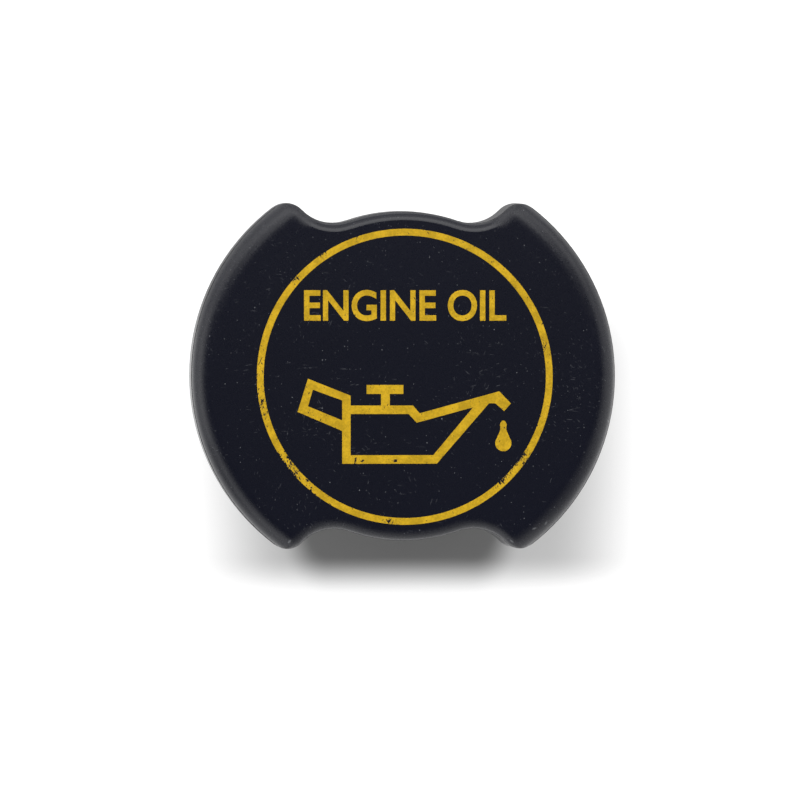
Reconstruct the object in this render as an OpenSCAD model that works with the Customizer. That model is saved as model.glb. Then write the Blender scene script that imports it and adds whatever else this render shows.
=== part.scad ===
// Oil filler cap with two finger wings, a hollow stem, a bayonet and a seal ring.
// Units are millimetres. The axis of the cap is Z and the printed face looks up.
// The origin lies on the axis, in the plane where the seal meets the filler neck.

/* [Head] */
// Width across the two wings
head_w = 72; // [66:0.5:90]
// Width across the round middle, between the wings
middle_w = 56; // [52:0.5:58]
// Radius of each hollow between the middle and a wing
hollow_r = 7; // [5.5:0.25:8]
// Radius of each wing's four corners
corner_r = 3.8; // [2.6:0.1:4.6]
// Angle from the middle of a wing to its corner
wing_a = 52.6; // [50:0.2:57]
// Height of the head from the skirt's lower edge to the face
head_h = 15; // [13:0.5:20]
// How far the skirt hangs below the seal
skirt_drop = 4; // [2.5:0.5:6]
// Thickness of the skirt
skirt_t = 2.2; // [1.6:0.1:2.4]
// Thickness of the top
top_t = 2.8; // [2:0.1:4]
// Lean of the skirt's walls, in degrees, so that the head leaves its mould
draft_a = 2; // [0.5:0.25:3]
// Rounding along the long edge of each wing
wing_round = 3.1; // [2.4:0.1:3.6]
// Rounding along the middle and the hollows
middle_round = 1.5; // [1:0.1:1.8]

/* [Ribs] */
// Number of ribs under each wing
rib_count = 3; // [1:1:5]
// Thickness of a rib
rib_t = 1.6; // [1:0.1:2.4]
// Angle between neighbouring ribs
rib_step_a = 30; // [10:1:34]
// Height of the ribs' lower edge above the seal's seat
rib_gap = 1; // [0.5:0.25:4]

/* [Stem] */
// Outer diameter of the stem
stem_d = 33.6; // [30:0.2:36]
// Wall of the stem
stem_t = 2.4; // [1.8:0.1:3.5]
// Length of the stem below the seal's seat
stem_l = 18; // [15:0.5:26]
// Bevel at the stem's lower end
stem_bevel = 0.8; // [0.4:0.1:1.4]

/* [Bayonet] */
// Diameter over the two lugs
lug_d = 40; // [38:0.2:42]
// Height of a lug at its thick end
lug_h = 4.4; // [3:0.2:6]
// Distance from the seal's seat down to a lug's top
lug_drop = 9.8; // [8:0.2:11]
// Angle that a lug covers around the stem
lug_a = 62; // [40:1:80]
// Part of the lug's angle that is a lead-in ramp
ramp_part = 0.5; // [0.3:0.05:0.7]
// Slope of the lead-in ramp, in degrees
ramp_a = 8; // [4:0.5:12]
// Thickness of the stop at each lug's thick end
stop_t = 2.6; // [1.6:0.2:4]
// How far a stop stands out from the stem
stop_out = 1.8; // [1:0.1:2.6]
// Gap between the seal's seat and the top of a stop
stop_gap = 3.4; // [2:0.2:5]

/* [Seal] */
// Outer diameter of the seal ring
seal_d = 47.2; // [44:0.2:49]
// Thickness of the seal ring
seal_t = 3; // [2:0.1:4]
// Depth of the groove in the stem that holds the seal ring
groove_depth = 0.6; // [0.3:0.1:0.9]
// Gap between the seal ring and the floor of its groove
seal_fit = 0.1; // [0.05:0.05:0.3]
// Width of the raised land that meets the filler neck
land_w = 2.4; // [1.4:0.1:3]
// Height of the land above the rest of the ring
land_h = 0.5; // [0.3:0.1:1]
// Wall on each side of the hollow in the seat
seat_t = 2; // [1.4:0.1:2.6]

/* [Hidden] */
$fn = 96;
mould_black = "#1b1c22";
rubber_black = "#26272a";
// a little past a face, so that cuts come out clean
past = 1;
head_r = head_w / 2;
middle_r = middle_w / 2;
stem_r = stem_d / 2;
lug_r = lug_d / 2;
seal_r = seal_d / 2;
face_z = head_h - skirt_drop;
plate_z = face_z - top_t;
groove_r = stem_r - groove_depth;
seal_hole_r = groove_r + seal_fit;
land_mid_r = (lug_r + seal_r) / 2;
// how far a rib reaches into the wall that carries it
root = 0.6;
// angle by which a stop is set back from its lug's end
stop_set_a = 2;
// arcs that should just touch stay this far apart, which keeps every edge clean
seam = 0.03;
// angle at which a rounded edge meets its wall and the face
meet_a = 4;
// angle by which the web behind a corner reaches back over the wing
web_a = 8;

// Distance from the axis to the centre of a hollow's arc
hollow_c = middle_r + hollow_r;
// Angle from X to a hollow's centre, where its arc just touches the corner's arc
hollow_a = wing_a + apex_a(hollow_c, head_r - corner_r, hollow_r + corner_r);
corner_at = polar(head_r - corner_r - seam, wing_a);
hollow_at = polar(hollow_c + seam, hollow_a);

// Angle between sides a and b of a triangle whose third side is c
function apex_a(a, b, c) = acos((a * a + b * b - c * c) / (2 * a * b));
function polar(r, a) = [r * cos(a), r * sin(a)];

// Half section of a form that is turned about the axis, with a leaning wall.
// The radius is r at the height low. side is 1 for a solid, -1 for a cutter, which
// goes on past both ends.
module turned_wall(r, low, high, round, side) {
    edge_r = r - side * (high - low) * tan(draft_a);
    if (side > 0) {
        difference() {
            polygon([[0, low], [r, low], [edge_r, high], [0, high]]);
            if (round > 0) edge_round(edge_r, high, round, side);
        }
    } else {
        polygon([
            [0, low - past], [r - past * tan(draft_a), low - past], [edge_r, high],
            [edge_r, high + past], [0, high + past]
        ]);
        if (round > 0) edge_round(edge_r, high, round, side);
    }
}

// Corner that a rounded edge takes off, between the wall, the face and the arc
module edge_round(edge_r, high, round, side) {
    reach = round * cos(meet_a);
    centre = [edge_r - side * reach, high - reach];
    difference() {
        polygon([
            centre, [edge_r + side * round, centre[1]],
            [edge_r + side * round, high + past], [centre[0], high + past]
        ]);
        translate(centre) circle(round);
    }
}

// Everything inside the hollows and corners, with the wings left too long
module plan_form(inset, low, high, round) {
    difference() {
        union() {
            for (turn = [0, 180]) rotate(turn) translate([0, 0, low]) linear_extrude(high - low)
                polygon([[0, 0], polar(head_w, -wing_a), polar(head_w, wing_a)]);
            rotate_extrude() turned_wall(middle_r - inset, low, high, round, 1);
            four_ways() corner_web(inset, low, high, round);
        }
        four_ways() translate(hollow_at) rotate_extrude()
            turned_wall(hollow_r + inset, low, high, round, -1);
    }
}

module corner_web(inset, low, high, round) {
    translate([0, 0, low]) linear_extrude(high - low)
        polygon([[0, 0], polar(middle_r, wing_a - web_a), corner_at, hollow_at]);
    translate(corner_at) rotate_extrude() turned_wall(corner_r - inset, low, high, round, 1);
}

module four_ways() {
    for (turn = [0, 1], side = [0, 1]) mirror([turn, 0, 0]) mirror([0, side, 0]) children();
}

// The head's outline as a solid, moved inwards by inset on every side
module head_form(inset, low, high, edge, wing_edge) {
    intersection() {
        plan_form(inset, low, high, edge);
        rotate_extrude() turned_wall(head_r - inset, low, high, wing_edge, 1);
    }
}

module cap_body() color(mould_black) {
    difference() {
        union() {
            difference() {
                head_form(0, -skirt_drop, face_z, middle_round, wing_round);
                head_form(skirt_t, -skirt_drop - past, plate_z, 0, 0);
            }
            ribs();
            translate([0, 0, seal_t]) cylinder(h = plate_z - seal_t + root, r = seal_r);
            stem();
            for (turn = [0, 180]) rotate(turn) lug();
        }
        stem_bore();
        seal_groove();
        seat_hollow();
    }
}

// Stiffening ribs between the seat and the skirt, fanned out under each wing
module ribs() {
    rib_out = head_r - skirt_t - (face_z + skirt_drop) * tan(draft_a) + root;
    for (turn = [0, 180], i = [0 : rib_count - 1])
        rotate(turn + (i - (rib_count - 1) / 2) * rib_step_a)
            translate([stem_r, -rib_t / 2, seal_t + rib_gap])
                cube([rib_out - stem_r, rib_t, plate_z - seal_t - rib_gap + root]);
}

// Its surface starts at the side, clear of the lugs, so that the ramps' ends stay clean
module stem() {
    rotate(90) rotate_extrude() polygon([
        [0, -stem_l], [stem_r - stem_bevel, -stem_l], [stem_r, -stem_l + stem_bevel],
        [stem_r, plate_z + root], [0, plate_z + root]
    ]);
}

module stem_bore() {
    translate([0, 0, -stem_l - past]) cylinder(h = stem_l + past + plate_z, r = stem_r - stem_t);
}

// Groove in which the seal ring's inner edge is held
module seal_groove() {
    difference() {
        translate([0, 0, land_h]) cylinder(h = seal_t - land_h, r = stem_r + past);
        translate([0, 0, land_h - past]) cylinder(h = seal_t - land_h + 2 * past, r = groove_r);
    }
}

// Hollow ring above the seal, so that the seat is two thin walls
module seat_hollow() {
    difference() {
        translate([0, 0, seal_t - past]) cylinder(h = plate_z - seal_t + past, r = seal_r - seat_t);
        translate([0, 0, seal_t - 2 * past]) cylinder(h = plate_z - seal_t + 3 * past, r = stem_r + seat_t / 2);
    }
}

// Bayonet lug with a lead-in ramp at one end and a stop at the other.
// It starts inside the stem's bore, which is cut out afterwards.
module lug() {
    top = -lug_drop;
    foot = -lug_drop - lug_h;
    start = stem_r - stem_t - past;
    // where the ramp ends, measured sideways from the lug's middle
    ramp_end = stem_r * sin(lug_a * (ramp_part - 0.5));
    difference() {
        rotate(-lug_a / 2) rotate_extrude(angle = lug_a) polygon([
            [start, foot], [lug_r - stem_bevel, foot], [lug_r, foot + stem_bevel],
            [lug_r, top], [start, top]
        ]);
        rotate([90, 0, 90]) linear_extrude(lug_d) polygon([
            [-lug_r, top - (lug_r + ramp_end) * tan(ramp_a)],
            [ramp_end + past, top + past * tan(ramp_a)],
            [ramp_end + past, top + past], [-lug_r, top + past]
        ]);
    }
    rotate(lug_a / 2 - stop_set_a) translate([start, -stop_t, foot + lug_h / 2])
        cube([stem_r + stop_out - start, stop_t, -stop_gap - foot - lug_h / 2]);
}

module seal_ring() color(rubber_black) {
    slope = land_h / 2;
    rotate_extrude() polygon([
        [seal_hole_r, land_h], [land_mid_r - land_w / 2 - slope, land_h], [land_mid_r - land_w / 2, 0],
        [land_mid_r + land_w / 2, 0], [land_mid_r + land_w / 2 + slope, land_h], [seal_r, land_h],
        [seal_r, seal_t], [seal_hole_r, seal_t]
    ]);
}

cap_body();
seal_ring();
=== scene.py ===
import math
from functools import reduce

import bmesh
import bpy
from bpy.props import FloatProperty, FloatVectorProperty, PointerProperty, StringProperty
from mathutils import Euler, Matrix, Vector


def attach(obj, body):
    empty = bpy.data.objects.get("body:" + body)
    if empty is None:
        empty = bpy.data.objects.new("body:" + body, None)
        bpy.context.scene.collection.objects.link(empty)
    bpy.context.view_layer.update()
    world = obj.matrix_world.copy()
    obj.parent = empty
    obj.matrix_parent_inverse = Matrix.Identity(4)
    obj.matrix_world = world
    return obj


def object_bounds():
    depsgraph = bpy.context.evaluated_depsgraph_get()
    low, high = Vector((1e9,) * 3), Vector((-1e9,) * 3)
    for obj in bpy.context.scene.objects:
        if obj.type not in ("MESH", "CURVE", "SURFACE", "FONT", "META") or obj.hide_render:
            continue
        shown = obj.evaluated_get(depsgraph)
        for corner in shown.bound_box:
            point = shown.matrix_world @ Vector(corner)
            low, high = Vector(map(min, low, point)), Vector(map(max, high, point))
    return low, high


bl_info = {
    "name": "Oil filler cap finish",
    "version": (1, 0, 0),
    "blender": (4, 5, 0),
    "location": "3D View > Sidebar > Cap",
    "description": "Print, finishes and studio for a winged oil filler cap",
    "category": "Object",
}

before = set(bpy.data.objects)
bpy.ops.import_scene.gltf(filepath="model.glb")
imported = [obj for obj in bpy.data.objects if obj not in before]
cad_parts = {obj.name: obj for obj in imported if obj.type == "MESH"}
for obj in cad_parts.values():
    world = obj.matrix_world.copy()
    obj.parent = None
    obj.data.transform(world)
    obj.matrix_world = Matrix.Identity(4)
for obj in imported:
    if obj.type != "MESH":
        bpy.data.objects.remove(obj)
cad_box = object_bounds()

MM = 0.001
# Height of the printed face above the origin, in millimetres
FACE_Z = 11.0
# The middle of the printed face, in metres
FACE = Vector((0, 0, FACE_Z * MM))
WHITE = (1, 1, 1, 1)
BLACK = (0, 0, 0, 1)


class CapPrint(bpy.types.PropertyGroup):
    """Sizes of what is printed on the face, in metres from the cap's axis"""

    ring_radius: FloatProperty(
        name="Ring radius", description="Outer radius of the printed ring",
        default=0.02473, unit="LENGTH", subtype="DISTANCE")
    ring_width: FloatProperty(
        name="Ring width", description="Width of the printed ring's line",
        default=0.00114, unit="LENGTH", subtype="DISTANCE")
    ring_centre: FloatVectorProperty(
        name="Ring centre",
        description="Where the printed ring's centre lies from the cap's axis",
        default=(0.00012, -0.00009), size=2, unit="LENGTH", subtype="XYZ")
    ink_height: FloatProperty(
        name="Ink height", description="How far the ink stands out from the face",
        default=0.00002, unit="LENGTH", subtype="DISTANCE")
    letter_left: FloatProperty(
        name="Lettering left", description="Left end of the lettering",
        default=-0.01673, unit="LENGTH", subtype="DISTANCE")
    letter_right: FloatProperty(
        name="Lettering right", description="Right end of the lettering",
        default=0.01708, unit="LENGTH", subtype="DISTANCE")
    letter_foot: FloatProperty(
        name="Lettering foot", description="Lower edge of the lettering",
        default=0.00922, unit="LENGTH", subtype="DISTANCE")
    letter_height: FloatProperty(
        name="Lettering height", description="Height of the capital letters",
        default=0.00521, unit="LENGTH", subtype="DISTANCE")
    letter_weight: FloatProperty(
        name="Lettering weight",
        description="How much the letters' strokes are thickened, as a share of their size",
        default=0.022, min=0.0, max=0.1)
    words: StringProperty(
        name="Words", description="What the lettering says", default="ENGINE OIL")


class CapColours(bpy.types.PropertyGroup):
    """Colours of the cap's materials"""

    plastic: FloatVectorProperty(
        name="Plastic", description="Moulded head and stem",
        default=(0.0036, 0.0044, 0.0114), min=0.0, max=1.0, subtype="COLOR")
    scuffed: FloatVectorProperty(
        name="Scuffed plastic", description="Plastic where it is scratched or nicked",
        default=(0.11, 0.115, 0.13), min=0.0, max=1.0, subtype="COLOR")
    dust: FloatVectorProperty(
        name="Dust", description="Fine dust on the head",
        default=(0.32, 0.33, 0.35), min=0.0, max=1.0, subtype="COLOR")
    ink: FloatVectorProperty(
        name="Ink", description="Printed ring, symbol and lettering",
        default=(0.56, 0.345, 0.012), min=0.0, max=1.0, subtype="COLOR")
    rubber: FloatVectorProperty(
        name="Rubber", description="Seal ring",
        default=(0.016, 0.016, 0.017), min=0.0, max=1.0, subtype="COLOR")


class CapStudio(bpy.types.PropertyGroup):
    """Camera, lamps and floor"""

    camera_distance: FloatProperty(
        name="Camera distance", description="From the camera to the cap's face",
        default=0.7, unit="LENGTH", subtype="DISTANCE")
    camera_left: FloatProperty(
        name="Camera to the left", description="Angle from the face's normal towards the left",
        default=math.radians(2.5), unit="ROTATION", subtype="ANGLE")
    camera_up: FloatProperty(
        name="Camera up", description="Angle from the face's normal towards the top of the symbol",
        default=math.radians(0.7), unit="ROTATION", subtype="ANGLE")
    lens: FloatProperty(
        name="Lens", description="Focal length in millimetres", default=188.8, min=20.0)
    key_power: FloatProperty(
        name="Key lamp", description="Power of the lamp beyond the top of the symbol",
        default=13.5, unit="POWER")
    ring_power: FloatProperty(
        name="Ring lamps",
        description="Power of the brightest of the low soft lamps around the cap",
        default=5.4, unit="POWER")
    floor_colour: FloatVectorProperty(
        name="Floor", description="Colour of the floor and backdrop",
        default=(0.3, 0.3, 0.3), min=0.0, max=1.0, subtype="COLOR")
    # The glow is held back under the cap in a painted shadow
    floor_glow: FloatProperty(
        name="Floor glow", description="White added to the floor where the camera sees it",
        default=0.92, min=0.0, max=1.0)


class Amount:
    """A number that varies over a surface; a sum on it adds Math nodes."""

    def __init__(self, finish, socket):
        self.finish = finish
        self.socket = socket

    def work(self, operation, first, second):
        """Adds the Math node for one step of a sum."""
        return self.finish.amount("Math", {"operation": operation}, {0: first, 1: second})

    def __add__(self, other):
        return self.work("ADD", self, other)

    def __radd__(self, other):
        return self.work("ADD", other, self)

    def __sub__(self, other):
        return self.work("SUBTRACT", self, other)

    def __rsub__(self, other):
        return self.work("SUBTRACT", other, self)

    def __mul__(self, other):
        return self.work("MULTIPLY", self, other)

    def __rmul__(self, other):
        return self.work("MULTIPLY", other, self)

    def __truediv__(self, other):
        return self.work("DIVIDE", self, other)

    def __rtruediv__(self, other):
        return self.work("DIVIDE", other, self)

    def size(self):
        """The amount without its sign."""
        return self.work("ABSOLUTE", self, 0.0)

    def or_more(self, other):
        """The larger of this amount and another."""
        return self.work("MAXIMUM", self, other)

    def or_less(self, other):
        """The smaller of this amount and another."""
        return self.work("MINIMUM", self, other)

    def between(self, low, high):
        """0 at low and 1 at high, with a soft start and end."""
        return self.finish.amount(
            "MapRange", {"interpolation_type": "SMOOTHSTEP"},
            {"Value": self, "From Min": low, "From Max": high})


def largest(amounts):
    """At every point the largest of several amounts."""
    return reduce(Amount.or_more, amounts)


class Finish:
    """One material, the nodes that it is made of and the patterns that the finishes share."""

    # How far a spot and a streak reach in depth, in millimetres
    SPOT_DEPTH = 6
    STREAK_DEPTH = 3
    # How much of a speck's radius is solid, and over how much noise a mark comes in
    SOLID_SHARE = 0.4
    MARK_FADE = 0.05

    def __init__(self, name):
        self.material = bpy.data.materials.new(name)
        self.material.use_nodes = True
        self.tree = self.material.node_tree
        self.tree.nodes.clear()

    def node(self, kind, settings, sockets):
        """Adds a node of a kind, with its settings first and then what its sockets hold."""
        made = self.tree.nodes.new("ShaderNode" + kind)
        for name, value in settings.items():
            setattr(made, name, value)
        for key, value in sockets.items():
            if isinstance(value, Amount):
                value = value.socket
            if isinstance(value, bpy.types.NodeSocket):
                self.tree.links.new(value, made.inputs[key])
            else:
                made.inputs[key].default_value = value
        return made

    def amount(self, kind, settings, sockets, output=0):
        """Adds a node and gives one of its outputs as an amount."""
        return Amount(self, self.node(kind, settings, sockets).outputs[output])

    def place(self):
        """The place on the piece, in metres."""
        return self.node("TexCoord", {}, {}).outputs["Object"]

    def millimetres(self, turn=(0, 0, 0)):
        """The place on the piece in millimetres, turned for a pattern."""
        return self.node("Mapping", {}, {
            "Vector": self.place(), "Rotation": turn, "Scale": (1 / MM,) * 3}).outputs[0]

    def fitted(self, size, turn, centre=(0, 0, 0)):
        """The place on the piece from a centre, in units of a size in millimetres."""
        return self.node("Mapping", {"vector_type": "TEXTURE"}, {
            "Vector": self.place(), "Location": tuple(c * MM for c in centre),
            "Rotation": (0, 0, math.radians(turn)),
            "Scale": tuple(s * MM for s in size)}).outputs[0]

    def sides(self):
        """The place on the piece as three amounts, in millimetres."""
        parts = self.node("SeparateXYZ", {}, {0: self.millimetres()}).outputs
        return [Amount(self, part) for part in parts]

    def length(self, vector):
        """How long a vector is."""
        return self.amount("VectorMath", {"operation": "LENGTH"}, {0: vector}, "Value")

    def reach(self, x, y):
        """How far two amounts reach together, as the long side of a triangle."""
        return self.length(self.node("CombineXYZ", {}, {0: x, 1: y}).outputs[0])

    def noise(self, place, per_mm, detail, rough=0.5):
        """Cloudy noise from 0 to 1, with so many waves in a millimetre."""
        return self.amount("TexNoise", {}, {
            "Vector": place, "Scale": per_mm, "Detail": detail, "Roughness": rough})

    def specks(self, place, per_mm, size, share):
        """Round specks, some faint: the share of cells that hold one, and its radius in cells."""
        cells = self.node("TexVoronoi", {}, {"Vector": place, "Scale": per_mm})
        pick = self.amount("SeparateColor", {}, {"Color": cells.outputs["Color"]})
        away = Amount(self, cells.outputs["Distance"])
        near = 1 - away.between(size * self.SOLID_SHARE, size)
        return near * (1 - pick / share).or_more(0.0)

    def spot(self, x, y, length, width, turn):
        """A soft-edged oval on the face, 1 at its middle and 0 at its edge."""
        inside = self.fitted((length / 2, width / 2, self.SPOT_DEPTH), turn, (x, y, FACE_Z))
        return (1 - self.length(inside)).or_more(0.0)

    def streaks(self, turn, length, width):
        """Noise that is drawn out in one direction across the face."""
        drawn_out = self.fitted((length, width, self.STREAK_DEPTH), turn)
        return self.noise(drawn_out, per_mm=1.0, detail=1.0)

    def marks(self, turn, length, width, level):
        """Short thin marks in one direction, in loose clusters of their own."""
        groups = self.noise(self.millimetres((0.4, 0.2, turn)), per_mm=0.11, detail=2.0)
        thin = self.streaks(turn, length, width).between(level, level + self.MARK_FADE)
        return thin * groups.between(0.5, 0.6)

    def colour(self, mask, under, over):
        """Colour under, with colour over it where the mask is 1."""
        return self.node("Mix", {"data_type": "RGBA"}, {0: mask, 6: under, 7: over}).outputs[2]

    def shades(self, mask, colour, dark, light):
        """A colour that goes from dark times itself to light times itself with the mask."""
        under, over = (solid_colour(c * share for c in colour) for share in (dark, light))
        return self.colour(mask, under, over)

    def softened(self, radius, mask):
        """The surface's normal, with its edges softened where the mask is 1."""
        soft = self.node("Bevel", {"samples": 4}, {"Radius": radius * MM}).outputs[0]
        crisp = self.node("NewGeometry", {}, {}).outputs["Normal"]
        return self.node("Mix", {"data_type": "VECTOR"}, {0: mask, 4: crisp, 5: soft}).outputs[1]

    def lit(self, colour, roughness, height, ior, normal=None):
        """Joins colour, roughness and a height in millimetres to a surface shader."""
        relief = {"Strength": 1.0, "Distance": MM, "Height": height}
        if normal:
            relief["Normal"] = normal
        bump = self.node("Bump", {}, relief).outputs[0]
        shader = self.node("BsdfPrincipled", {}, {
            "Base Color": colour, "Roughness": roughness, "IOR": ior, "Normal": bump}).outputs[0]
        self.node("OutputMaterial", {}, {"Surface": shader})


def solid_colour(colour):
    """A colour with the full alpha that a socket asks for."""
    return tuple(colour) + (1.0,)


# Places and lengths in the next tables are in millimetres and directions in degrees.
# Families of short scratches: direction, length and the level of noise from which they show
SCRATCHES = (
    (12, 1.6, 0.735), (-38, 1.1, 0.735), (71, 1.5, 0.74), (118, 1.0, 0.73), (-5, 3.0, 0.76))
SCRATCH_WIDTH = 0.16
# Single scratches: middle, length and direction
SINGLE_SCRATCHES = (
    (-16.3, 1.4, 3.8, 2), (-9.2, 1.2, 4.4, -3), (-19.4, -9.1, 3.2, 78),
    (11.8, -1.5, 1.8, 20), (10.6, 0.6, 1.4, -40), (12.9, 0.9, 1.2, 35))
SINGLE_WIDTH = 0.2
# Nicks along the lower edge: middle, length, width and direction
NICKS = (
    (-19.2, -27.6, 0.9, 0.5, 50), (18.0, -27.6, 1.0, 0.4, -40), (23.8, -24.6, 1.0, 0.4, 60),
    (21.8, -25.5, 1.0, 0.4, 20), (34.4, -7.6, 1.0, 0.4, -50))
# The wings and the lower side have softer edges. The softening comes in over this distance from
# the axis, this distance below it and this height.
SOFT_WINGS = (28.6, 30.6)
SOFT_BELOW = (8, 16)
SOFT_HEIGHT = (4, 7)
SOFT_RADIUS = 1.9
PLASTIC_ROUGHNESS = 0.25
PLASTIC_IOR = 1.48


def plastic_finish(colours):
    """Satin moulded plastic with a fine grain, scratches, nicks and dust."""
    finish = Finish("cap_plastic")
    place = finish.millimetres()
    cloud = finish.noise(place, per_mm=0.05, detail=4.0)
    grain = finish.noise(place, per_mm=2.6, detail=3.0, rough=0.6)
    broken = grain.between(0.45, 0.6)
    scratch = largest(
        finish.marks(turn, length, SCRATCH_WIDTH, level) for turn, length, level in SCRATCHES)
    for x, y, length, turn in SINGLE_SCRATCHES:
        scratch = scratch.or_more(finish.spot(x, y, length, SINGLE_WIDTH, turn) * 1.5 * broken)
    nick = largest(finish.spot(*spot) for spot in NICKS)
    dust = largest((finish.specks(place, per_mm=0.8, size=0.1, share=0.2),
                    finish.specks(place, per_mm=1.9, size=0.16, share=0.2)))
    tone = finish.shades(cloud, colours.plastic, dark=0.85, light=1.15)
    tone = finish.colour(scratch.or_less(1.0) * 0.5, tone, solid_colour(colours.scuffed))
    tone = finish.colour((dust * 0.7).or_more(nick * 0.5), tone, solid_colour(colours.dust))
    roughness = PLASTIC_ROUGHNESS + grain * 0.06 + scratch * 0.1
    height = grain * 0.003 + cloud * 0.02 - scratch * 0.004
    x, y, z = finish.sides()
    wings = finish.reach(x, y).between(*SOFT_WINGS)
    soft = z.between(*SOFT_HEIGHT) * wings.or_more((0 - y).between(*SOFT_BELOW))
    finish.lit(tone, roughness, height, PLASTIC_IOR, finish.softened(SOFT_RADIUS, soft))
    return finish.material


RUBBER_ROUGHNESS = 0.62
RUBBER_IOR = 1.5


def rubber_finish(colours):
    """Matt black rubber with a fine grain and a little grey bloom."""
    finish = Finish("seal_rubber")
    place = finish.millimetres()
    cloud = finish.noise(place, per_mm=0.3, detail=4.0)
    grain = finish.noise(place, per_mm=5.0, detail=3.0, rough=0.6)
    dust = finish.specks(place, per_mm=1.3, size=0.16, share=0.2)
    tone = finish.shades(cloud, colours.rubber, dark=0.7, light=1.5)
    tone = finish.colour(dust * 0.5, tone, solid_colour(colours.dust))
    roughness = RUBBER_ROUGHNESS + grain * 0.2
    finish.lit(tone, roughness, grain * 0.01 + cloud * 0.02, RUBBER_IOR)
    return finish.material


# Worn places of the ink: middle, length, width, direction and depth
WORN_PLACES = (
    (-24.2, 0.5, 3.0, 12.0, 0, 0.6), (-23.8, -5.5, 3.0, 8.0, 12, 1.0),
    (-18.9, -15.2, 14.0, 2.6, -50, 1.0), (-13.8, 20.3, 3.0, 1.8, 35, 1.1),
    (-18.2, 16.2, 3.6, 2.2, 45, 1.2), (23.6, 5.0, 3.0, 8.0, 10, 0.7),
    (19.9, -13.4, 4.2, 2.4, 56, 1.3), (16.2, -17.7, 4.6, 2.4, 42, 1.3),
    (18.3, -15.6, 8.0, 1.8, 49, 0.5), (-2.7, -24.2, 4.0, 1.6, 0, 1.2),
    (-8.1, -13.9, 2.0, 0.9, 80, 1.6), (-6.9, -14.1, 1.6, 0.9, 20, 1.4),
    (-1.6, -14.1, 1.4, 0.9, 0, 1.4), (16.9, -8.6, 1.2, 0.9, 0, 1.2))
# Cracks in the ink: direction and length
CRACKS = ((64, 1.1), (-52, 0.8), (102, 0.7))
CRACK_WIDTH = 0.24
INK_ROUGHNESS = 0.3
INK_IOR = 1.4


def ink_finish(colours, sizes):
    """Yellow ink with fine specks, nibbled edges, cracks and chips down to the plastic."""
    finish = Finish("print_ink")
    place = finish.millimetres()
    cloud = finish.noise(place, per_mm=0.5, detail=3.0)
    coarse = finish.noise(place, per_mm=1.5, detail=3.0, rough=0.6)
    fine = finish.noise(place, per_mm=2.6, detail=4.0, rough=0.65)
    patches = finish.noise(place, per_mm=0.16, detail=2.0).between(0.42, 0.62)
    x, y = finish.sides()[:2]
    centre_x, centre_y = (side / MM for side in sizes.ring_centre)
    half_line = sizes.ring_width / 2
    # Distance from the middle of the ring's line
    off = (finish.reach(x - centre_x, y - centre_y) - (sizes.ring_radius - half_line) / MM).size()
    edge = (off / (half_line / MM)).between(0.1, 1.0)
    on_ring = 1 - off.between(1.0, 1.6)
    worn = sum(finish.spot(*spot) * depth for *spot, depth in WORN_PLACES)
    nibbled = edge * (patches * 0.6 * on_ring + worn) * 0.2
    bare = (fine + nibbled).between(0.73, 0.76)
    bare = bare.or_more((coarse + nibbled).between(0.72, 0.74))
    for turn, length in CRACKS:
        crack = finish.streaks(turn, length, CRACK_WIDTH) + worn * 0.16
        bare = bare.or_more(crack.between(0.76, 0.78))
    bare = bare.or_more(finish.specks(place, per_mm=1.7, size=0.14, share=0.12) * 0.9)
    mottled = (cloud + fine - 0.5).between(0.2, 0.8)
    tone = finish.shades(mottled, colours.ink, dark=0.88, light=1.34)
    tone = finish.colour(bare, tone, solid_colour(colours.plastic))
    finish.lit(tone, INK_ROUGHNESS + cloud * 0.1, cloud * 0.01 - bare * 0.015, INK_IOR)
    return finish.material


def ink():
    """The ink's material, which all printed pieces share."""
    return bpy.data.materials.get("print_ink") or ink_finish(
        bpy.context.scene.cap_colours, bpy.context.scene.cap_print)


def dress(mesh, material):
    """Gives a mesh its one material."""
    mesh.materials.clear()
    mesh.materials.append(material)


def turned(profile, steps, closed=False):
    """A bmesh of a profile of radii and heights, turned once around the cap's axis."""
    shape = bmesh.new()
    points = [shape.verts.new((radius, 0, height)) for radius, height in profile]
    following = points[1:] + points[:1] if closed else points[1:]
    edges = [shape.edges.new(pair) for pair in zip(points, following)]
    bmesh.ops.spin(shape, geom=points + edges, cent=(0, 0, 0), axis=(0, 0, 1),
                   angle=math.tau, steps=steps, use_merge=True)
    return shape


def add_piece(name, shape, material, smooth):
    """Makes an object at the origin from a bmesh, with its material."""
    for face in shape.faces:
        face.smooth = smooth
    mesh = bpy.data.meshes.new(name)
    shape.to_mesh(mesh)
    shape.free()
    dress(mesh, material)
    piece = bpy.data.objects.new(name, mesh)
    bpy.context.scene.collection.objects.link(piece)
    return piece


def printed(name, shape):
    """Makes a piece from a bmesh of ink and lets it ride on the cap."""
    bmesh.ops.recalc_face_normals(shape, faces=shape.faces)
    piece = add_piece(name, shape, ink(), smooth=False)
    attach(piece, "root")


# Points of a printed outline that lie nearer than this are one point, in metres
INK_WELD = 0.0005 * MM


def thicken(shape, height):
    """Gives flat ink its height, from just under the face to above it."""
    bmesh.ops.remove_doubles(shape, verts=shape.verts, dist=INK_WELD)
    low = FACE_Z * MM - height
    bmesh.ops.translate(shape, verts=shape.verts, vec=(0, 0, low - shape.verts[:][0].co.z))
    made = bmesh.ops.extrude_face_region(shape, geom=shape.faces[:])
    top = [v for v in made["geom"] if isinstance(v, bmesh.types.BMVert)]
    bmesh.ops.translate(shape, verts=top, vec=(0, 0, 2 * height))


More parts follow.
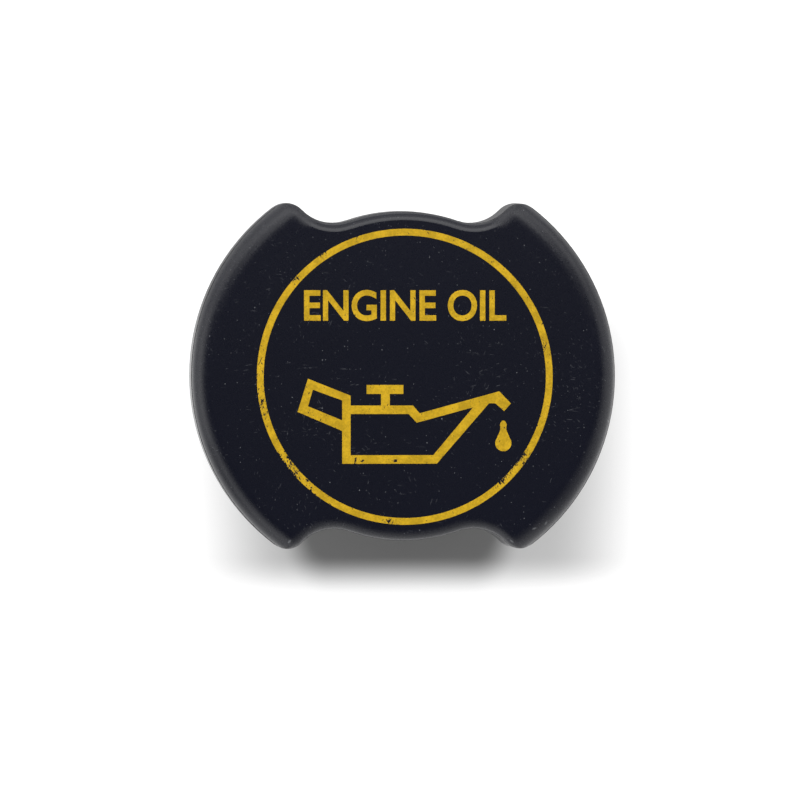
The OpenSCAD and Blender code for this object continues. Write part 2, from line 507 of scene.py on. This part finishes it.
def filled(curve):
    """A bmesh of what a flat curve or a text fills."""
    holder = bpy.data.objects.new(curve.name, curve)
    bpy.context.scene.collection.objects.link(holder)
    bpy.context.view_layer.update()
    seen = holder.evaluated_get(bpy.context.evaluated_depsgraph_get())
    flat = bpy.data.meshes.new_from_object(seen)
    shape = bmesh.new()
    shape.from_mesh(flat)
    bpy.data.objects.remove(holder)
    bpy.data.curves.remove(curve)
    bpy.data.meshes.remove(flat)
    return shape


# The oil can symbol is drawn in units of its own, and this is one of them in metres.
PRINT_UNIT = 0.9817 * MM
CAN_OUTLINE = (
    (-16.39, -0.40), (-9.13, -3.29), (-9.13, -4.97), (-3.96, -4.97), (-3.96, -3.00),
    (-6.41, -3.00), (-6.41, -1.47), (-0.15, -1.47), (-0.15, -3.00), (-2.46, -3.00),
    (-2.46, -4.97), (1.50, -4.97), (2.62, -6.30), (16.19, -2.56), (18.18, -4.63),
    (17.04, -5.94), (15.51, -4.60), (14.44, -4.61), (5.55, -14.88), (-10.57, -14.88),
    (-10.57, -9.29), (-18.14, -6.04))
HANDLE_HOLE = ((-15.56, -2.27), (-10.57, -4.09), (-10.57, -7.49), (-16.36, -5.09))
CAN_HOLE = (
    (-9.13, -6.42), (0.77, -6.42), (2.13, -7.91), (11.74, -5.28), (4.95, -13.42), (-9.13, -13.42))
# The drop's outline goes from its top round to the left.
DROP_OUTLINE = (
    (16.89, -7.54), (16.36, -8.10), (16.38, -9.00), (15.86, -10.35), (15.51, -11.38),
    (15.91, -12.36), (16.89, -12.76), (17.87, -12.36), (18.27, -11.38), (17.92, -10.35),
    (17.40, -9.00), (17.42, -8.10))
# Steps from point to point of the drop's outline, of a letter's, and around the ring
DROP_STEPS = 8
LETTER_STEPS = 6
RING_STEPS = 180


def outline_curve(name, outlines, rounded):
    """A flat filled curve through the outlines' points, with soft bends if rounded."""
    curve = bpy.data.curves.new(name, "CURVE")
    curve.dimensions = "2D"
    curve.fill_mode = "BOTH"
    curve.resolution_u = DROP_STEPS
    for outline in outlines:
        line = curve.splines.new("BEZIER")
        line.bezier_points.add(len(outline) - 1)
        for point, (x, y) in zip(line.bezier_points, outline):
            point.co = (x * PRINT_UNIT, y * PRINT_UNIT, 0)
            point.handle_left_type = point.handle_right_type = "AUTO" if rounded else "VECTOR"
        line.resolution_u = DROP_STEPS if rounded else 1
        line.use_cyclic_u = True
    return curve


# Lamps: the key lamp's middle in metres, and each kind's length and width
KEY_PLACE = (0.0, 0.86, 1.23)
KEY_SIZE = (1.6, 1.0)
RING_LAMP_SIZE = (1.02, 0.9)
# How far the low lamps are from the face's middle, in metres
RING_LAMP_DISTANCE = 1.4
# Direction of each low lamp around the cap and its height above the floor, both in degrees,
# and its share of the brightest one's power
RING_LAMPS = (
    (0, 20, 0.67), (45, 20, 0.84), (90, 20, 0.51), (135, 20, 1.0), (180, 20, 1.0),
    (225, 33, 0.66), (270, 33, 0.51), (315, 33, 0.37))
WORLD_STRENGTH = 0.04

# Floor: radius of its flat part, of the bend up to the backdrop, and the backdrop's top, in metres
FLOOR_RADIUS = 2.2
BEND_RADIUS = 0.5
BACKDROP_TOP = 1.2
FLOOR_STEPS = 96
FLOOR_WELD = 0.1 * MM
FLOOR_ROUGHNESS = 0.6

# The glow of the floor, with all places in millimetres from the cap's axis.
# Under the cap the glow is held back in a painted shadow: a patch shaped like the cap's shadow,
# where the lamps' real shadow on the grey floor shows dark.
# The painted shadow ends over this distance above the axis.
UPPER_SIDE = (0, 20)
# The upper rims and walls mirror a darker floor than the camera sees, by this share: far out to
# the upper left and right, and near the cap on its upper side.
MIRROR_FAR = (70, 190)
MIRROR_NEAR = (50, 70)
MIRROR_SHARE = 0.8
# The painted shadow's core: its middle to the side, half its straight width, how much faster it
# fades to the sides than downwards, how far down it is straight, and where it fades out beyond
# that
CORE_X = 0.6
CORE_HALF_WIDTH = 12.2
CORE_SIDE_FADE = 1.33
CORE_BELOW = 27
CORE_FADE = (4.5, 12.3)
CORE_SHARE = 0.38
# The painted shadow's wide part: its middle to the side, and where it fades to the sides and
# downwards
WIDE_X = 4
WIDE_ASIDE = (22, 44)
WIDE_BELOW = (31.5, 39.5)
WIDE_SHARE = 0.62

# Camera: the place on the face that it aims at, in millimetres, its sensor's width in millimetres,
# and the nearest distance that it sees, in metres
CAMERA_AIM = (-0.71, -3.96)
SENSOR_WIDTH = 36.0
CAMERA_NEAREST = 0.01


class CAP_OT_stage(bpy.types.Operator):
    """Floor with a curved backdrop, lamps, world and camera"""

    bl_idname = "cap.stage"
    bl_label = "Stage"

    def execute(self, context):
        studio = context.scene.cap_studio
        self.floor(studio)
        self.lamp(context, "key_lamp", Vector(KEY_PLACE), KEY_SIZE, studio.key_power)
        for turn, height, share in RING_LAMPS:
            leaning = Euler((0, -math.radians(height), math.radians(turn))).to_matrix()
            away = leaning @ Vector((1, 0, 0))
            self.lamp(context, "ring_lamp_%d" % turn, FACE + away * RING_LAMP_DISTANCE,
                      RING_LAMP_SIZE, studio.ring_power * share)
        self.world(context)
        self.camera(context, studio)
        return {"FINISHED"}

    def floor(self, studio):
        """A round floor that bends up into a backdrop, in the plane of the cap's lower end."""
        low = cad_box[0][2]
        profile = [(0.0, 0.0), (FLOOR_RADIUS, 0.0)]
        for angle in map(math.radians, range(10, 91, 10)):
            profile.append((FLOOR_RADIUS + BEND_RADIUS * math.sin(angle),
                            BEND_RADIUS - BEND_RADIUS * math.cos(angle)))
        profile.append((FLOOR_RADIUS + BEND_RADIUS, BACKDROP_TOP))
        shape = turned([(radius, height + low) for radius, height in profile], FLOOR_STEPS)
        bmesh.ops.remove_doubles(shape, verts=shape.verts, dist=FLOOR_WELD)
        bmesh.ops.recalc_face_normals(shape, faces=shape.faces)
        if sum(f.normal.z for f in shape.faces) < 0:
            bmesh.ops.reverse_faces(shape, faces=shape.faces)
        add_piece("floor", shape, self.floor_finish(studio), smooth=True)

    def floor_finish(self, studio):
        """Grey floor with a white glow that only the camera, mirrors and glass see, and a painted
        shadow under the cap where the glow is held back.
        """
        finish = Finish("floor_white")
        rays = finish.node("LightPath", {}, {})
        x, y = finish.sides()[:2]
        upper = y.between(*UPPER_SIDE)
        far = (y + x.size()).between(*MIRROR_FAR)
        near = upper * (1 - finish.reach(x, y).between(*MIRROR_NEAR))
        mirrored = 1 - far.or_more(near) * MIRROR_SHARE
        seen = Amount(finish, rays.outputs["Is Glossy Ray"]) * mirrored
        for kind in ("Is Camera Ray", "Is Transmission Ray"):
            seen = seen.or_more(Amount(finish, rays.outputs[kind]))
        # Painted shadow: the glow is held back in a shadow-shaped patch under the cap, with a dark
        # core and a wide soft part
        below = 0 - y
        aside = ((x - CORE_X).size() - CORE_HALF_WIDTH).or_more(0) * CORE_SIDE_FADE
        past_core = finish.reach(aside, (below - CORE_BELOW).or_more(0)).between(*CORE_FADE)
        wide = (1 - (x - WIDE_X).size().between(*WIDE_ASIDE)) * (1 - below.between(*WIDE_BELOW))
        past_wide = 1 - wide
        painted_shadow = (1 - past_core * CORE_SHARE - past_wide * WIDE_SHARE) * (1 - upper)
        shader = finish.node("BsdfPrincipled", {}, {
            "Base Color": solid_colour(studio.floor_colour), "Roughness": FLOOR_ROUGHNESS,
            "Emission Color": finish.colour(seen * (1 - painted_shadow), BLACK, WHITE),
            "Emission Strength": studio.floor_glow})
        finish.node("OutputMaterial", {}, {"Surface": shader.outputs[0]})
        return finish.material

    def lamp(self, context, name, place, size, power):
        """A soft rectangular lamp that looks at the middle of the face."""
        light = bpy.data.lights.new(name, "AREA")
        light.shape = "RECTANGLE"
        light.size, light.size_y = size
        light.energy = power
        lamp = bpy.data.objects.new(name, light)
        facing = (place - FACE).to_track_quat("Z", "Y").to_matrix().to_4x4()
        lamp.matrix_world = Matrix.Translation(place) @ facing
        lamp.visible_camera = False
        context.scene.collection.objects.link(lamp)

    def world(self, context):
        """A faint even light from all sides."""
        world = bpy.data.worlds.new("studio")
        world.use_nodes = True
        light = world.node_tree.nodes["Background"].inputs
        light["Color"].default_value = WHITE
        light["Strength"].default_value = WORLD_STRENGTH
        context.scene.world = world

    def camera(self, context, studio):
        """The photograph's view, almost straight down on the face."""
        lens = bpy.data.cameras.new("camera")
        lens.lens = studio.lens
        lens.sensor_width = SENSOR_WIDTH
        lens.clip_start = CAMERA_NEAREST
        target = Vector([part * MM for part in (*CAMERA_AIM, FACE_Z)])
        away = Vector((-math.tan(studio.camera_left), math.tan(studio.camera_up), 1.0))
        place = FACE + away * studio.camera_distance
        camera = bpy.data.objects.new("camera", lens)
        facing = (place - target).normalized()
        side = Vector((0, 1, 0)).cross(facing).normalized()
        rows = Matrix((side, facing.cross(side), facing)).transposed()
        camera.matrix_world = Matrix.Translation(place) @ rows.to_4x4()
        context.scene.collection.objects.link(camera)
        context.scene.camera = camera


class CAP_OT_body(bpy.types.Operator):
    """Plastic finish of the moulded head and stem"""

    bl_idname = "cap.body"
    bl_label = "Cap body"

    def execute(self, context):
        dress(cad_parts["cap_body"].data, plastic_finish(context.scene.cap_colours))
        return {"FINISHED"}


class CAP_OT_seal(bpy.types.Operator):
    """Rubber finish of the seal ring"""

    bl_idname = "cap.seal"
    bl_label = "Seal ring"

    def execute(self, context):
        dress(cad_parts["seal_ring"].data, rubber_finish(context.scene.cap_colours))
        return {"FINISHED"}


class CAP_OT_ring(bpy.types.Operator):
    """Printed ring on the face"""

    bl_idname = "cap.ring"
    bl_label = "Printed ring"

    def execute(self, context):
        sizes = context.scene.cap_print
        inner, outer = sizes.ring_radius - sizes.ring_width, sizes.ring_radius
        low, high = FACE_Z * MM - sizes.ink_height, FACE_Z * MM + sizes.ink_height
        section = ((inner, low), (outer, low), (outer, high), (inner, high))
        shape = turned(section, RING_STEPS, closed=True)
        bmesh.ops.translate(shape, verts=shape.verts, vec=(*sizes.ring_centre, 0))
        printed("printed_ring", shape)
        return {"FINISHED"}


class CAP_OT_oil_can(bpy.types.Operator):
    """Printed oil can symbol with its drop"""

    bl_idname = "cap.oil_can"
    bl_label = "Oil can symbol"

    def execute(self, context):
        height = context.scene.cap_print.ink_height
        for name, outlines, rounded in (
                ("oil_can", (CAN_OUTLINE, HANDLE_HOLE, CAN_HOLE), False),
                ("oil_drop", (DROP_OUTLINE,), True)):
            shape = filled(outline_curve(name, outlines, rounded))
            thicken(shape, height)
            printed(name, shape)
        return {"FINISHED"}


class CAP_OT_lettering(bpy.types.Operator):
    """Printed lettering above the symbol"""

    bl_idname = "cap.lettering"
    bl_label = "Lettering"

    def execute(self, context):
        sizes = context.scene.cap_print
        text = bpy.data.curves.new("lettering", "FONT")
        text.body = sizes.words
        text.offset = sizes.letter_weight
        text.resolution_u = LETTER_STEPS
        shape = filled(text)
        xs = [v.co.x for v in shape.verts]
        ys = [v.co.y for v in shape.verts]
        wide = (sizes.letter_right - sizes.letter_left) / (max(xs) - min(xs))
        tall = sizes.letter_height / (max(ys) - min(ys))
        bmesh.ops.translate(shape, verts=shape.verts, vec=(-min(xs), -min(ys), 0))
        bmesh.ops.scale(shape, verts=shape.verts, vec=(wide, tall, 1))
        corner = (sizes.letter_left, sizes.letter_foot, 0)
        bmesh.ops.translate(shape, verts=shape.verts, vec=corner)
        thicken(shape, sizes.ink_height)
        printed("lettering", shape)
        return {"FINISHED"}


OPERATORS = (
    CAP_OT_stage, CAP_OT_body, CAP_OT_seal, CAP_OT_ring, CAP_OT_oil_can, CAP_OT_lettering)
GROUPS = {"cap_print": CapPrint, "cap_colours": CapColours, "cap_studio": CapStudio}


class CAP_PT_panel(bpy.types.Panel):
    """Lists the cap's pieces and their sizes"""

    bl_idname = "CAP_PT_panel"
    bl_label = "Oil filler cap"
    bl_space_type = "VIEW_3D"
    bl_region_type = "UI"
    bl_category = "Cap"

    def draw(self, context):
        for operator in OPERATORS:
            self.layout.operator(operator.bl_idname)
        for group_name, kind in GROUPS.items():
            for name in kind.__annotations__:
                self.layout.prop(getattr(context.scene, group_name), name)


def register():
    for kind in (*GROUPS.values(), *OPERATORS, CAP_PT_panel):
        bpy.utils.register_class(kind)
    for name, kind in GROUPS.items():
        setattr(bpy.types.Scene, name, PointerProperty(type=kind))


def unregister():
    for name in GROUPS:
        delattr(bpy.types.Scene, name)
    for kind in (CAP_PT_panel, *reversed(OPERATORS), *reversed(GROUPS.values())):
        bpy.utils.unregister_class(kind)


def main():
    register()
    bpy.context.scene.view_settings.view_transform = "Standard"
    bpy.ops.cap.stage()
    bpy.ops.cap.body()
    bpy.ops.cap.seal()
    bpy.ops.cap.ring()
    bpy.ops.cap.oil_can()
    bpy.ops.cap.lettering()


if __name__ == "__main__":
    main()
